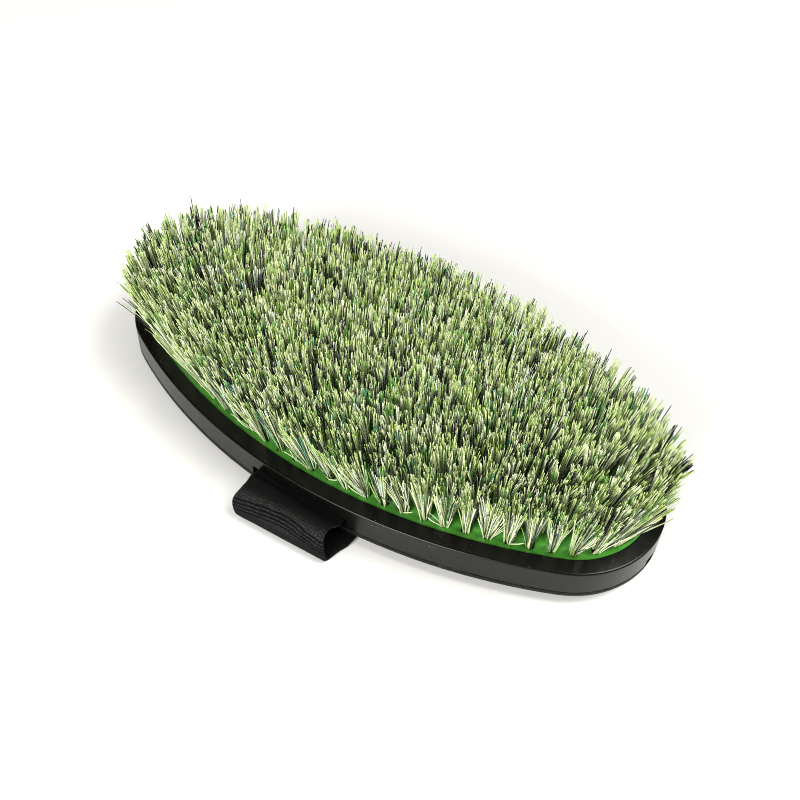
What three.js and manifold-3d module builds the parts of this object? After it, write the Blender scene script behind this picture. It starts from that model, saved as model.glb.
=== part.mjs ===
// An oval grooming brush with a webbing hand strap, lying on its back with the bristles up.
// Millimetres. X runs along the brush, Y across it, and Z up towards the bristle tips.
// The origin is on the resting plane, under the middle of the oval.
import * as THREE from "three";
import { mergeVertices } from "three/addons/utils/BufferGeometryUtils.js";
import Module from "manifold-3d";

const wasm = await Module();
wasm.setup();

// ---- Driving dimensions ----
const brushLength = 220;
const brushWidth = 102.8;
const endRadius = 33.9; // of the oval's two ends; its long sides are flatter arcs
const gap = 0.3; // left between pieces that fit into each other

const backHeight = 4.5; // how far the domed back stands below the body's lower edge
const partingHeight = 6.8; // of the line between the back cover and the rim, above the table
const rimHeight = 16.9; // of the rim's outer corner
const bezelRise = 1;
const bezelWidth = 5.24;
const wallThickness = 3.3;
const lipThickness = 2.7; // of the bezel where it laps over the bristle plate

const plateBottom = 11.4;
const plateTop = 17.4;
const holeDepth = 3;
const holeWidth = 4.1;

const tipHeight = 42;
const firstRowInset = 9; // from the brush's outline to the middle of the outer row's roots
const tuftPitch = 7.05; // along a row, and from row to row across the brush
const endPitch = 9.5; // from row to row along the brush, at its ends
const sharpening = 1.3; // power by which the inner rows' ends get tighter than their widths
const ovalRows = 6;
const middleTufts = 11; // in the straight row inside the oval ones
const rootWidth = 2.5;
const canopyThickness = 5.7; // of an oval row at its tips
const middleThickness = 4.2;
const joinShare = 0.68; // of the way up a tuft, where it meets its neighbours
const outerSplay = 6.5; // how far the outer row's tips lean out past its roots

const slotLength = 40;
const slotHeight = 4.3;
const slotCentre = 1.5;
const windowWidth = 4.4;
const windowHeight = 2.4;
const notchDepth = 1.9; // how far a window goes on down through the cover's edge
const windowOffset = -2; // from the long axis, at the +X end, and the other way at the -X end

const strapWidth = 37;
const strapThickness = 1.7;
const strapGround = 0.35; // the strap's clearance above the table
const loopReach = 12; // how far the slack strap bulges out past the body
const loopTilt = 1.25; // how much more it bulges at one edge, and less at the other
const loopSkew = 4; // how far the slack middle has slid along the brush
const hemRadius = 2.2;
const barRadius = 1.2;

// ---- The oval and the curves inside it ----
const halfLength = brushLength / 2;
const halfWidth = brushWidth / 2;
const bezelHeight = rimHeight + bezelRise;

// An oval as two end arcs and two long side arcs that meet smoothly.
function oval(length, width, end) {
  const side = (length ** 2 - 2 * length * end + width ** 2) / (2 * (width - end));
  const endCentre = length - end;
  const sideCentre = side - width; // each side's centre lies this far across the long axis
  const turn = Math.atan2(sideCentre, endCentre); // where an end arc becomes a side arc
  const arcs = [
    { x: endCentre, y: 0, radius: end, from: -turn, to: turn },
    { x: 0, y: -sideCentre, radius: side, from: turn, to: Math.PI - turn },
    { x: -endCentre, y: 0, radius: end, from: Math.PI - turn, to: Math.PI + turn },
    { x: 0, y: sideCentre, radius: side, from: Math.PI + turn, to: 2 * Math.PI - turn },
  ];
  for (const arc of arcs) arc.length = arc.radius * (arc.to - arc.from);
  return arcs;
}

// A point on an arc and the direction that faces outwards there.
function onArc(arc, angle) {
  const out = new THREE.Vector2(Math.cos(angle), Math.sin(angle));
  const point = new THREE.Vector2(arc.x, arc.y).addScaledVector(out, arc.radius);
  return { point, out };
}

// The brush's outline moved inwards, as a ring of points with the same count at every inset.
const endSteps = 14;
const sideSteps = 12;
function outline(inset) {
  const arcs = oval(halfLength - inset, halfWidth - inset, endRadius - inset);
  return arcs.flatMap((arc, i) => {
    const steps = i % 2 ? sideSteps : endSteps;
    return Array.from(
      { length: steps },
      (_, k) => onArc(arc, arc.from + ((arc.to - arc.from) * k) / steps).point,
    );
  });
}

// The point at a distance round a row, starting where the first arc does.
function alongOval(arcs, distance) {
  let left = distance;
  for (const arc of arcs) {
    if (left <= arc.length) return onArc(arc, arc.from + left / arc.radius);
    left -= arc.length;
  }
  return onArc(arcs[0], arcs[0].from);
}

// ---- Making solids ----
// Collects triangles, and gives them back as one geometry.
class Faces {
  corners = [];
  triangle(a, b, c) {
    this.corners.push(...a, ...b, ...c);
  }
  quad(a, b, c, d) {
    this.triangle(a, b, c);
    this.triangle(a, c, d);
  }
  geometry() {
    const position = new THREE.Float32BufferAttribute(this.corners, 3);
    return new THREE.BufferGeometry().setAttribute("position", position);
  }
}

function solid(geometry) {
  const bare = geometry.clone();
  bare.deleteAttribute("normal");
  bare.deleteAttribute("uv");
  const merged = mergeVertices(bare, 1e-3);
  return new wasm.Manifold(
    new wasm.Mesh({
      numProp: 3,
      vertProperties: merged.attributes.position.array,
      triVerts: new Uint32Array(merged.index.array),
    }),
  );
}

function geometryOf(manifold) {
  const { vertProperties, triVerts } = manifold.getMesh();
  const geometry = new THREE.BufferGeometry();
  geometry.setAttribute("position", new THREE.BufferAttribute(vertProperties, 3));
  geometry.setIndex(new THREE.BufferAttribute(triVerts, 1));
  return geometry;
}

function box(width, depth, height, x, y, bottom) {
  const geometry = new THREE.BoxGeometry(width, depth, height);
  return solid(geometry.translate(x, y, bottom + height / 2));
}

// Joins level ovals, listed as [inset, height], by walls. The list runs anticlockwise round the
// wall's section when the section's outside is on the left, and closes on itself if asked to.
function ovalWalls(levels, closed) {
  const faces = new Faces();
  const rings = levels.map(([inset, z]) => outline(inset).map((p) => [p.x, p.y, z]));
  const joins = closed ? rings.length : rings.length - 1;
  for (let i = 0; i < joins; i++) {
    const low = rings[i];
    const high = rings[(i + 1) % rings.length];
    low.forEach((corner, k) => {
      const next = (k + 1) % low.length;
      faces.quad(corner, low[next], high[next], high[k]);
    });
  }
  return { faces, rings };
}

// A block bounded by level ovals from its underside to its top, closed by flat ends.
function ovalBlock(levels) {
  const { faces, rings } = ovalWalls(levels, false);
  const first = rings[0];
  const last = rings[rings.length - 1];
  const under = [0, 0, levels[0][1]];
  const over = [0, 0, levels[levels.length - 1][1]];
  first.forEach((corner, k) => {
    const next = (k + 1) % first.length;
    faces.triangle(under, first[next], corner);
    faces.triangle(over, last[k], last[next]);
  });
  return solid(faces.geometry());
}

// ---- The strap's path ----
// It leaves the slot level, humps over the slack, drops to a tight fold on the table and comes back
// under the body. Distances are outwards from the brush's long axis and up from the table.
const slotMiddle = partingHeight + slotHeight / 2;
const strapLevel = strapGround + strapThickness / 2;
const hemCentre = halfWidth - 7.9;
const seam = halfWidth - 4; // where a side of the strap meets the middle
const loopOut = halfWidth + loopReach - strapThickness / 2;
const loopMiddle = (slotMiddle + strapLevel) / 2;

const strapSide = new THREE.CurvePath();
strapSide.add(
  new THREE.LineCurve(
    new THREE.Vector2(hemCentre + hemRadius - 0.6, slotMiddle),
    new THREE.Vector2(halfWidth + 0.6, slotMiddle),
  ),
);
strapSide.add(
  new THREE.CubicBezierCurve(
    new THREE.Vector2(halfWidth + 0.6, slotMiddle),
    new THREE.Vector2(halfWidth + 5, slotMiddle + 2.5),
    new THREE.Vector2(loopOut + 0.1, slotMiddle + 2.3),
    new THREE.Vector2(loopOut, strapLevel + 3.6),
  ),
);
strapSide.add(
  new THREE.CubicBezierCurve(
    new THREE.Vector2(loopOut, strapLevel + 3.6),
    new THREE.Vector2(loopOut, strapLevel + 0.2),
    new THREE.Vector2(loopOut - 0.3, strapLevel),
    new THREE.Vector2(loopOut - 3.2, strapLevel),
  ),
);
strapSide.add(
  new THREE.LineCurve(
    new THREE.Vector2(loopOut - 3.2, strapLevel),
    new THREE.Vector2(seam, strapLevel),
  ),
);

// How far the strap has slid along the brush: not at all in the slot, and fully on the table.
function skewAt(across, up) {
  if (across < halfWidth) return up > loopMiddle ? 0 : loopSkew;
  const turn = Math.atan2(across - halfWidth, up - loopMiddle) / Math.PI;
  return loopSkew * THREE.MathUtils.smoothstep(turn, 0.25, 0.95);
}

// ---- The pieces ----
function slots(length, depth) {
  const reach = halfWidth - depth / 2 + 1;
  return [-1, 1].map((side) =>
    box(length, depth, slotHeight, slotCentre, side * reach, partingHeight),
  );
}

function endWindows() {
  return [-1, 1].map((end) =>
    box(
      2 * wallThickness + 2, windowWidth, windowHeight,
      end * halfLength, end * windowOffset, partingHeight,
    ),
  );
}

// The black ring: an upright wall with a bezel that rises inwards and laps over the plate.
function rimFrame() {
  const lipUnder = bezelHeight - lipThickness;
  const section = [
    [0, partingHeight + gap / 3],
    [0, rimHeight - 0.6],
    [0.5, rimHeight],
    [bezelWidth, bezelHeight],
    [bezelWidth, lipUnder],
    [wallThickness, lipUnder],
    [wallThickness, partingHeight + gap / 3],
  ];
  let ring = solid(ovalWalls(section, true).faces.geometry());
  for (const cut of [...slots(slotLength, 8), ...endWindows()]) ring = ring.subtract(cut);
  return geometryOf(ring);
}

// The green plate: a flange held under the bezel, and a raised face with a socket for each tuft.
function bristlePlate() {
  const lipUnder = bezelHeight - lipThickness;
  const block = ovalBlock([
    [wallThickness + gap, plateBottom],
    [wallThickness + gap, lipUnder],
    [bezelWidth + gap, lipUnder],
    [bezelWidth + gap, plateTop],
  ]);
  const sockets = new Faces();
  const half = holeWidth / 2;
  for (const row of tuftRows)
    for (const { point, out } of row.roots) {
      const along = new THREE.Vector2(-out.y, out.x);
      const centre = point.clone().addScaledVector(out, row.splay * 0.06);
      const ring = [[-1, -1], [1, -1], [1, 1], [-1, 1]].map(([u, v]) =>
        centre.clone().addScaledVector(out, u * half).addScaledVector(along, v * half),
      );
      const low = ring.map((p) => [p.x, p.y, plateTop - holeDepth]);
      const high = ring.map((p) => [p.x, p.y, plateTop + 1]);
      for (let k = 0; k < 4; k++)
        sockets.quad(low[k], low[(k + 1) % 4], high[(k + 1) % 4], high[k]);
      sockets.quad(low[3], low[2], low[1], low[0]);
      sockets.quad(high[0], high[1], high[2], high[3]);
    }
  return geometryOf(block.subtract(solid(sockets.geometry())));
}

// The black cover: a domed back with two flat faces to rest on, a channel between them for the
// strap, and an upstand inside the rim that carries the plate.
function backCover() {
  const dish = ovalBlock([
    [20, 0],
    [13, 0.5],
    [6.5, 1.8],
    [2, 3.5],
    [0.6, backHeight],
    [0, backHeight + 0.6],
    [0, partingHeight - gap / 3],
    [wallThickness + gap, partingHeight - gap / 3],
    [wallThickness + gap, plateBottom],
    [wallThickness + 2.7, plateBottom],
    [wallThickness + 2.7, backHeight],
  ]);
  const channelDepth = strapGround + strapThickness + gap;
  const channel = box(
    strapWidth + 3, brushWidth + 10, channelDepth + 1, slotCentre + loopSkew, 0, -1,
  );
  let cover = dish.subtract(channel);
  for (const side of [-1, 1]) {
    const opening = box(
      slotLength + 2, 8, plateBottom - partingHeight + 1,
      slotCentre, side * (hemCentre + 2), partingHeight - gap / 3,
    );
    const barSeat = solid(strapBar(side, barRadius + gap, gap));
    const notch = box(
      5, windowWidth, notchDepth + 1,
      side * halfLength, side * windowOffset, partingHeight - notchDepth,
    );
    cover = cover.subtract(opening).subtract(barSeat).subtract(notch);
    cover = cover.add(endHook(side));
  }
  return geometryOf(cover);
}

// A snap hook that reaches from the cover's upstand into the window at one end of the rim.
function endHook(end) {
  const width = windowWidth - 2 * gap;
  const recess = 2.4;
  const reach = wallThickness + 2 - recess;
  const x = end * (halfLength - recess - reach / 2);
  const y = end * windowOffset;
  return box(reach, width, windowHeight - gap, x, y, partingHeight - gap / 3);
}

// A pin through the hem at one end of the strap.
function strapBar(side, radius = barRadius, extra = 0) {
  const length = slotLength + 4 + 2 * extra;
  const pin = new THREE.CylinderGeometry(radius, radius, length, 12).rotateZ(Math.PI / 2);
  return pin.translate(slotCentre, side * hemCentre, slotMiddle);
}

// One side of the strap: the hem round its pin, the run through the slot and the slack loop.
function strapSidePiece(side) {
  const steps = 11;
  const half = strapThickness / 2;
  const path = [];
  const curves = strapSide.curves;
  curves.forEach((curve, i) => {
    const count = i === 1 || i === 2 ? steps : 1;
    for (let k = i === 0 ? 0 : 1; k <= count; k++)
      path.push({ at: curve.getPoint(k / count), along: curve.getTangent(k / count) });
  });
  const upper = path.map(({ at, along }) =>
    new THREE.Vector2(at.x - along.y * half, at.y + along.x * half),
  );
  const lower = path.map(({ at, along }) =>
    new THREE.Vector2(at.x + along.y * half, at.y - along.x * half),
  );
  const ribbon = new THREE.Shape([...upper, ...lower.reverse()]);
  const hem = new THREE.Shape().absarc(hemCentre, slotMiddle, hemRadius, 0, 2 * Math.PI);
  hem.holes.push(
    new THREE.Path().absarc(hemCentre, slotMiddle, barRadius + gap, 0, 2 * Math.PI),
  );
  const flat = { depth: strapWidth, bevelEnabled: false, curveSegments: 8 };
  const joined = solid(new THREE.ExtrudeGeometry(ribbon, flat)).add(
    solid(new THREE.ExtrudeGeometry(hem, flat)),
  );
  return placedAcross(geometryOf(joined), side);
}

// Turns a piece drawn as (across, up, width) so that it lies across the brush on one side.
function placedAcross(geometry, side) {
  const spots = geometry.getAttribute("position");
  for (let i = 0; i < spots.count; i++) {
    const across = spots.getX(i);
    const up = spots.getY(i);
    const along = (spots.getZ(i) - strapWidth / 2) * side;
    const bulge = Math.max(0, (across - halfWidth) / loopReach);
    const tilt = loopTilt * bulge * (-along / (strapWidth / 2));
    spots.setXYZ(i, slotCentre + along + skewAt(across, up), side * (across + tilt), up);
  }
  return geometry;
}

// The flat middle of the strap, under the back.
function strapMiddle() {
  return geometryOf(
    box(strapWidth, 2 * seam, strapThickness, slotCentre + loopSkew, 0, strapGround),
  );
}

// ---- The tufts ----
// A row's roots sit in the plate's sockets, its bundles fan out, and from there up they merge.
function ovalRow(number) {
  const length = halfLength - firstRowInset - number * endPitch;
  const width = halfWidth - firstRowInset - number * tuftPitch;
  const share = width / (halfWidth - firstRowInset);
  const arcs = oval(length, width, (endRadius - firstRowInset) * share ** sharpening);
  const round = arcs.reduce((sum, arc) => sum + arc.length, 0);
  const count = Math.round(round / tuftPitch);
  const stop = (share) => alongOval(arcs, round * (share / count));
  const splay = outerSplay * (1 - number / ovalRows);
  const roots = Array.from({ length: count }, (_, k) => stop(k + 0.5));
  const joins = Array.from({ length: count }, (_, k) => stop(k));
  return { roots, joins, splay, thickness: canopyThickness, closed: true };
}

// The last row is straight, on the brush's long axis.
function middleRow() {
  const stop = (share) => ({
    point: new THREE.Vector2(tuftPitch * (share - middleTufts / 2), 0),
    out: new THREE.Vector2(0, -1),
  });
  const roots = Array.from({ length: middleTufts }, (_, k) => stop(k + 0.5));
  const joins = Array.from({ length: middleTufts + 1 }, (_, k) => stop(k));
  return { roots, joins, splay: 0, thickness: middleThickness, closed: false };
}

const tuftRows = [...Array.from({ length: ovalRows }, (_, k) => ovalRow(k)), middleRow()];

function tuftRow({ roots, joins, splay, thickness, closed }) {
  const faces = new Faces();
  const rootHeight = plateTop - holeDepth;
  const joinHeight = plateTop + joinShare * (tipHeight - plateTop);
  const leanAt = (z) => (splay * (z - rootHeight)) / (tipHeight - rootHeight);
  const spot = ({ point, out }, outwards, sideways, z) => {
    const lean = leanAt(z) + outwards;
    return [
      point.x + out.x * lean - out.y * sideways,
      point.y + out.y * lean + out.x * sideways,
      z,
    ];
  };
  const edge = (join, sign) => ({
    low: spot(join, (sign * thickness) / 2.6, 0, joinHeight),
    high: spot(join, (sign * thickness) / 2, 0, tipHeight),
  });
  const half = rootWidth / 2;
  roots.forEach((root, k) => {
    const before = joins[k];
    const after = joins[(k + 1) % joins.length];
    const [outA, outB] = [edge(before, 1), edge(after, 1)];
    const [inA, inB] = [edge(before, -1), edge(after, -1)];
    const rootOutA = spot(root, half, -half, rootHeight);
    const rootOutB = spot(root, half, half, rootHeight);
    const rootInA = spot(root, -half, -half, rootHeight);
    const rootInB = spot(root, -half, half, rootHeight);
    faces.quad(rootOutA, rootOutB, outB.low, outA.low);
    faces.quad(outA.low, outB.low, outB.high, outA.high);
    faces.quad(rootInB, rootInA, inA.low, inB.low);
    faces.quad(inB.low, inA.low, inA.high, inB.high);
    faces.quad(rootInA, rootOutA, outA.low, inA.low);
    faces.quad(rootOutB, rootInB, inB.low, outB.low);
    faces.quad(rootInA, rootInB, rootOutB, rootOutA);
    faces.quad(outA.high, outB.high, inB.high, inA.high);
  });
  if (!closed) {
    const [first, last] = [joins[0], joins[joins.length - 1]];
    const [a, b] = [edge(first, 1), edge(first, -1)];
    const [c, d] = [edge(last, 1), edge(last, -1)];
    faces.quad(b.low, a.low, a.high, b.high);
    faces.quad(c.low, d.low, d.high, c.high);
  }
  return faces.geometry();
}

// ---- Materials and assembly ----
const finishes = {
  black_plastic: { color: 0x1d1e1f, roughness: 0.5, metalness: 0 },
  green_plastic: { color: 0x3f9a2e, roughness: 0.45, metalness: 0 },
  webbing: { color: 0x17181a, roughness: 0.95, metalness: 0 },
  steel: { color: 0xb9bcc0, roughness: 0.35, metalness: 1 },
  bristle: { color: 0xa9bf86, roughness: 0.6, metalness: 0 },
};

const group = new THREE.Group();

function piece(name, geometry, finish) {
  const mesh = new THREE.Mesh(geometry, new THREE.MeshStandardMaterial(finishes[finish]));
  mesh.name = name;
  group.add(mesh);
}

piece("rim_frame", rimFrame(), "black_plastic");
piece("bristle_plate", bristlePlate(), "green_plastic");
piece("back_cover", backCover(), "black_plastic");
piece("strap_bar_near", strapBar(-1), "steel");
piece("strap_bar_far", strapBar(1), "steel");
piece("hand_strap_near_side", strapSidePiece(-1), "webbing");
piece("hand_strap_middle", strapMiddle(), "webbing");
piece("hand_strap_far_side", strapSidePiece(1), "webbing");
tuftRows.forEach((row, k) => piece(`tuft_row_${k + 1}`, tuftRow(row), "bristle"));

export default group;
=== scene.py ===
"""Looks for the oval grooming brush: smooth shells, a ribbed webbing strap and thousands of bristles.

Shapes are worked out in millimetres and turned into metres as each mesh is made. The frame's own
boxes give the heights and the outline's size, so the pieces sit where the CAD solids are.
"""
import math

import bpy
import numpy as np
from mathutils import Matrix, Vector
from mathutils.geometry import delaunay_2d_cdt


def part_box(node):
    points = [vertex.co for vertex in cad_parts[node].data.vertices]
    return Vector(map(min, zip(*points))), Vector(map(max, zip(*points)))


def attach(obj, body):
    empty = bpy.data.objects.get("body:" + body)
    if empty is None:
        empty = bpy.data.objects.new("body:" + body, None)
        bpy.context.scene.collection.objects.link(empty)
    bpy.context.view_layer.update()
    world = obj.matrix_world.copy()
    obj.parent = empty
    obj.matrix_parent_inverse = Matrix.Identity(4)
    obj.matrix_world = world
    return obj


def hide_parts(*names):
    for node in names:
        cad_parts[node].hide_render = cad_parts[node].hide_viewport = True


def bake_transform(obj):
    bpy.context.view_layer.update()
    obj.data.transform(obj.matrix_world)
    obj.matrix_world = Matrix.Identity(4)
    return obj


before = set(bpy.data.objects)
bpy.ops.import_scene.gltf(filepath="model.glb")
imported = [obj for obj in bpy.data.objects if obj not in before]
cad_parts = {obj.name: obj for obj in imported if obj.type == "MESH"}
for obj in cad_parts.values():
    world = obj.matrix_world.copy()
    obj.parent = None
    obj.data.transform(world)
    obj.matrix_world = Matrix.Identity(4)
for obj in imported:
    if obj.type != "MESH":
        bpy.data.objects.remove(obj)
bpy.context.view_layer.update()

MM = 0.001
rng = np.random.default_rng(41)


def box_mm(node):
    """The lowest and the highest corner of a CAD node's box, in mm."""
    return [np.array(corner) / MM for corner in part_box(node)]


# ---- Sizes read from the frame, in mm ----
rim_low, rim_high = box_mm("rim_frame")
HALF_LENGTH, HALF_WIDTH, BEZEL_TOP = rim_high
PARTING = rim_low[2]
PLATE_TOP = box_mm("bristle_plate")[1][2]
TIPS = box_mm("tuft_row_1")[1][2]
STRAP_GROUND = box_mm("hand_strap_middle")[0][2]

# ---- Sizes of the body, in mm ----
END_RADIUS = 33.9  # of the outline's two ends; its long sides are flatter arcs
BEZEL_RISE = 1
BEZEL_WIDTH = 5.24
LIP_THICKNESS = 2.7  # of the bezel where it laps over the plate
WALL = 3.3
BACK_EDGE = 5.1  # where the domed back turns into the upright edge
DOME_WIDTH = 20  # from the outline in to the flat of the back
DOME_POWER = 1.8  # a circle's is 2, and a lower one makes a flatter dome
DOME_STEPS = 26
PARTING_GAP = 0.2  # the dark line between the cover and the rim
UNEVENNESS = 0.05  # of the cover's moulded edge
SLOT_LENGTH = 40
SLOT_HEIGHT = 4.3
SLOT_CENTRE = 1.5
WINDOW_WIDTH = 4.4
WINDOW_HEIGHT = 2.4
NOTCH_DEPTH = 1.9  # how far each window goes on down through the cover's edge
NOTCH_REACH = 5
WINDOW_OFFSET = -2  # from the long axis at the +X end, and the other way at the -X end
WALL_CUT = 10  # the depth of a block that cuts through the wall, half of it outside
CHANNEL_DEPTH = 2.35
CHANNEL_PLAY = 3  # how much wider the channel is than the strap
SLOT_ROUNDING = 0.6
WINDOW_ROUNDING = 0.3
CHANNEL_ROUNDING = 1.2

# ---- Sizes of the tufts' layout, in mm ----
FIRST_ROW = 9  # from the outline in to the outer row's roots
TUFT_PITCH = 7.05  # along a row, and from row to row across the brush
END_PITCH = 9.5  # from row to row along the brush, at its ends
SHARPENING = 1.3  # the power by which the inner rows' ends get tighter than their widths
OVAL_ROWS = 6
MIDDLE_TUFTS = 11  # in the straight row inside the oval ones
OUTER_SPLAY = 6.5  # how far the outer row's tips lean out
SOCKET_RADIUS = 1.5
SOCKET_SHIFT = 0.06  # how far out a socket lies, as a share of its row's splay

# ---- Sizes of the strap, in mm ----
STRAP_WIDTH = 37
STRAP_THICKNESS = 1.5
CAD_STRAP_THICKNESS = 1.7
LOOP_REACH = 12  # how far the slack loop bulges out past the body
LOOP_TILT = 1.25  # how much more it bulges at one edge, and less at the other
LOOP_SKEW = 4  # how far the slack middle has slid along the brush
HEM_INSET = 7.9
RIB_PITCH = 0.95
RIB_DEPTH = 0.09
CREASES = 4
CREASE_PITCH = 1.15
CREASE_DEPTH = 0.32
CREASE_WIDTH = 0.24


# ---- Ovals ----
def oval_arcs(length, width, end):
    """Two end arcs and two long side arcs, each as (centre x, centre y, radius, from, to)."""
    side = (length**2 - 2 * length * end + width**2) / (2 * (width - end))
    across = side - width
    turn = math.atan2(across, length - end)
    return [
        (length - end, 0, end, -turn, turn),
        (0, -across, side, turn, math.pi - turn),
        (end - length, 0, end, math.pi - turn, math.pi + turn),
        (0, across, side, math.pi + turn, 2 * math.pi - turn),
    ]


def round_oval(arcs, distances):
    """Points on an oval and the directions that face outwards there, at distances round it."""
    lengths = [radius * (stop - start) for _, _, radius, start, stop in arcs]
    ends = np.cumsum(lengths)
    left = np.asarray(distances, float) % ends[-1]
    points = np.zeros((len(left), 2))
    outs = np.zeros((len(left), 2))
    for (x, y, radius, start, _), length, end in zip(arcs, lengths, ends):
        here = (left >= end - length) & (left <= end)
        angle = start + (left[here] - end + length) / radius
        outs[here] = np.stack([np.cos(angle), np.sin(angle)], 1)
        points[here] = np.array([x, y]) + radius * outs[here]
    return points, outs


def oval_length(arcs):
    return sum(radius * (stop - start) for _, _, radius, start, stop in arcs)


OUTLINE_STEPS = 360
outline_arcs = oval_arcs(HALF_LENGTH, HALF_WIDTH, END_RADIUS)
outline_stops = np.arange(OUTLINE_STEPS) * oval_length(outline_arcs) / OUTLINE_STEPS
outline_points, outline_outs = round_oval(outline_arcs, outline_stops)


# ---- Meshes ----
def mesh_piece(name, points_mm, faces, materials, smooth_angle=None):
    """A new object from points in mm. With a smooth angle, edges sharper than it stay sharp."""
    mesh = bpy.data.meshes.new(name)
    mesh.from_pydata((np.asarray(points_mm, float) * MM).tolist(), [], faces)
    mesh.update()
    for material in materials:
        mesh.materials.append(material)
    mesh.polygons.foreach_set("use_smooth", np.ones(len(mesh.polygons), bool))
    if smooth_angle is not None:
        mesh.set_sharp_from_angle(angle=math.radians(smooth_angle))
    piece = bpy.data.objects.new(name, mesh)
    bpy.context.scene.collection.objects.link(piece)
    return piece


def rounded_section(corners, steps=4, guard=0.12):
    """A closed polygon of (inset, height, radius) corners, with each corner rounded.

    A point just beyond each rounding keeps the shading of the flats flat.
    """
    section = []
    count = len(corners)
    for i, (x, z, radius) in enumerate(corners):
        here = np.array([x, z])
        before = np.array(corners[i - 1][:2]) - here
        after = np.array(corners[(i + 1) % count][:2]) - here
        before = before / np.linalg.norm(before)
        after = after / np.linalg.norm(after)
        half = math.acos(np.clip(before @ after, -1, 1)) / 2
        reach = radius / math.tan(half)
        start = here + before * reach
        stop = here + after * reach
        section.append(start + before * guard)
        for t in np.linspace(0, 1, steps + 1):
            section.append(start * (1 - t) ** 2 + here * 2 * t * (1 - t) + stop * t**2)
        section.append(stop + after * guard)
    return section


def ring_points(section):
    """The rings swept round the outline by a section of (inset, height) points."""
    rings = []
    for inset, height in section:
        level = np.full((OUTLINE_STEPS, 1), height)
        rings.append(np.hstack([outline_points - outline_outs * inset, level]))
    return np.concatenate(rings)


def ring_faces(rings, around=OUTLINE_STEPS, closed=False, first=0):
    """The faces between rings of points, which closed ones also have from the last to the first."""
    faces = []
    for i in range(rings if closed else rings - 1):
        low = first + i * around
        high = first + (i + 1) % rings * around
        for k in range(around):
            after = (k + 1) % around
            faces.append((low + k, low + after, high + after, high + k))
    return faces


def end_faces(rings, around=OUTLINE_STEPS, first=0):
    """The flat faces that close the first and the last ring."""
    last = first + (rings - 1) * around
    return [tuple(range(first, first + around))[::-1], tuple(range(last, last + around))]


def circle_points(around):
    """Points round a circle of radius 1."""
    turn = np.arange(around) * 2 * math.pi / around
    return np.stack([np.cos(turn), np.sin(turn)], 1)


def cutter(size, centre, rounding):
    """A block with rounded edges, all in mm, for cutting with."""
    points = [[x, y, z] for x in (-0.5, 0.5) for y in (-0.5, 0.5) for z in (-0.5, 0.5)]
    points = np.array(points) * size + centre
    faces = [(0, 1, 3, 2), (4, 6, 7, 5), (0, 4, 5, 1), (2, 3, 7, 6), (0, 2, 6, 4), (1, 5, 7, 3)]
    block = mesh_piece("cutter", points, faces, [])
    bevel = block.modifiers.new("round", "BEVEL")
    bevel.width = rounding * MM
    bevel.segments = 4
    return block


def cut(piece, cutters, smooth_angle=35):
    """Cuts blocks out of a piece, and removes them."""
    for block in cutters:
        boolean = piece.modifiers.new("cut", "BOOLEAN")
        boolean.operation = "DIFFERENCE"
        boolean.object = block
        boolean.solver = "EXACT"
    graph = bpy.context.evaluated_depsgraph_get()
    mesh = bpy.data.meshes.new_from_object(piece.evaluated_get(graph), depsgraph=graph)
    piece.modifiers.clear()
    piece.data = mesh
    mesh.polygons.foreach_set("use_smooth", np.ones(len(mesh.polygons), bool))
    mesh.set_sharp_from_angle(angle=math.radians(smooth_angle))
    for block in cutters:
        bpy.data.objects.remove(block)


# ---- Materials ----
class Nodes:
    """Adds nodes to a material with few words."""

    def __init__(self, name):
        self.material = bpy.data.materials.new(name)
        self.material.use_nodes = True
        self.tree = self.material.node_tree
        self.shader = self.tree.nodes["Principled BSDF"]

    def add(self, kind, **settings):
        node = self.tree.nodes.new(kind)
        for key, value in settings.items():
            if hasattr(node, key):
                setattr(node, key, value)
            else:
                node.inputs[key].default_value = value
        return node

    def link(self, start, end):
        self.tree.links.new(start, end)

    def maths(self, operation, a, b):
        """Works on two values. The second may be a plain number."""
        node = self.add("ShaderNodeMath", operation=operation)
        self.link(a, node.inputs[0])
        if isinstance(b, (int, float)):
            node.inputs[1].default_value = b
        else:
            self.link(b, node.inputs[1])
        return node.outputs[0]

    def noise(self, scale, detail=3, stretch=None):
        """Noise in the piece's own space. The scale is in waves per metre."""
        place = self.add("ShaderNodeTexCoord").outputs["Object"]
        if stretch:
            mapping = self.add("ShaderNodeMapping")
            mapping.inputs["Scale"].default_value = stretch
            self.link(place, mapping.inputs["Vector"])
            place = mapping.outputs[0]
        node = self.add("ShaderNodeTexNoise", Scale=scale, Detail=detail)
        self.link(place, node.inputs["Vector"])
        return node.outputs["Fac"]

    def span(self, factor, to=(0, 1), over=(0, 1)):
        """Turns values that run over one range into values that run over another."""
        node = self.add("ShaderNodeMapRange")
        node.inputs["From Min"].default_value, node.inputs["From Max"].default_value = over
        node.inputs["To Min"].default_value, node.inputs["To Max"].default_value = to
        self.link(factor, node.inputs["Value"])
        return node.outputs["Result"]

    def mix(self, factor, a, b):
        """Mixes two colours, each given by its numbers or by another node."""
        node = self.add("ShaderNodeMix", data_type="RGBA")
        self.link(factor, node.inputs[0])
        for colour, socket in ((a, 6), (b, 7)):
            if isinstance(colour, tuple):
                node.inputs[socket].default_value = (*colour, 1)
            else:
                self.link(colour, node.inputs[socket])
        return node.outputs[2]

    def bump(self, height, strength, distance_mm, below=None):
        node = self.add("ShaderNodeBump")
        node.inputs["Strength"].default_value = strength
        node.inputs["Distance"].default_value = distance_mm * MM
        self.link(height, node.inputs["Height"])
        if below is not None:
            self.link(below, node.inputs["Normal"])
        return node.outputs["Normal"]

    def into(self, socket, output):
        self.link(output, self.shader.inputs[socket])

    def fix(self, socket, value):
        self.shader.inputs[socket].default_value = value


MIDDLING = (0.3, 0.7)  # the range that most of a noise's values lie in


def grey(value):
    return (value, value, value)


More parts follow.
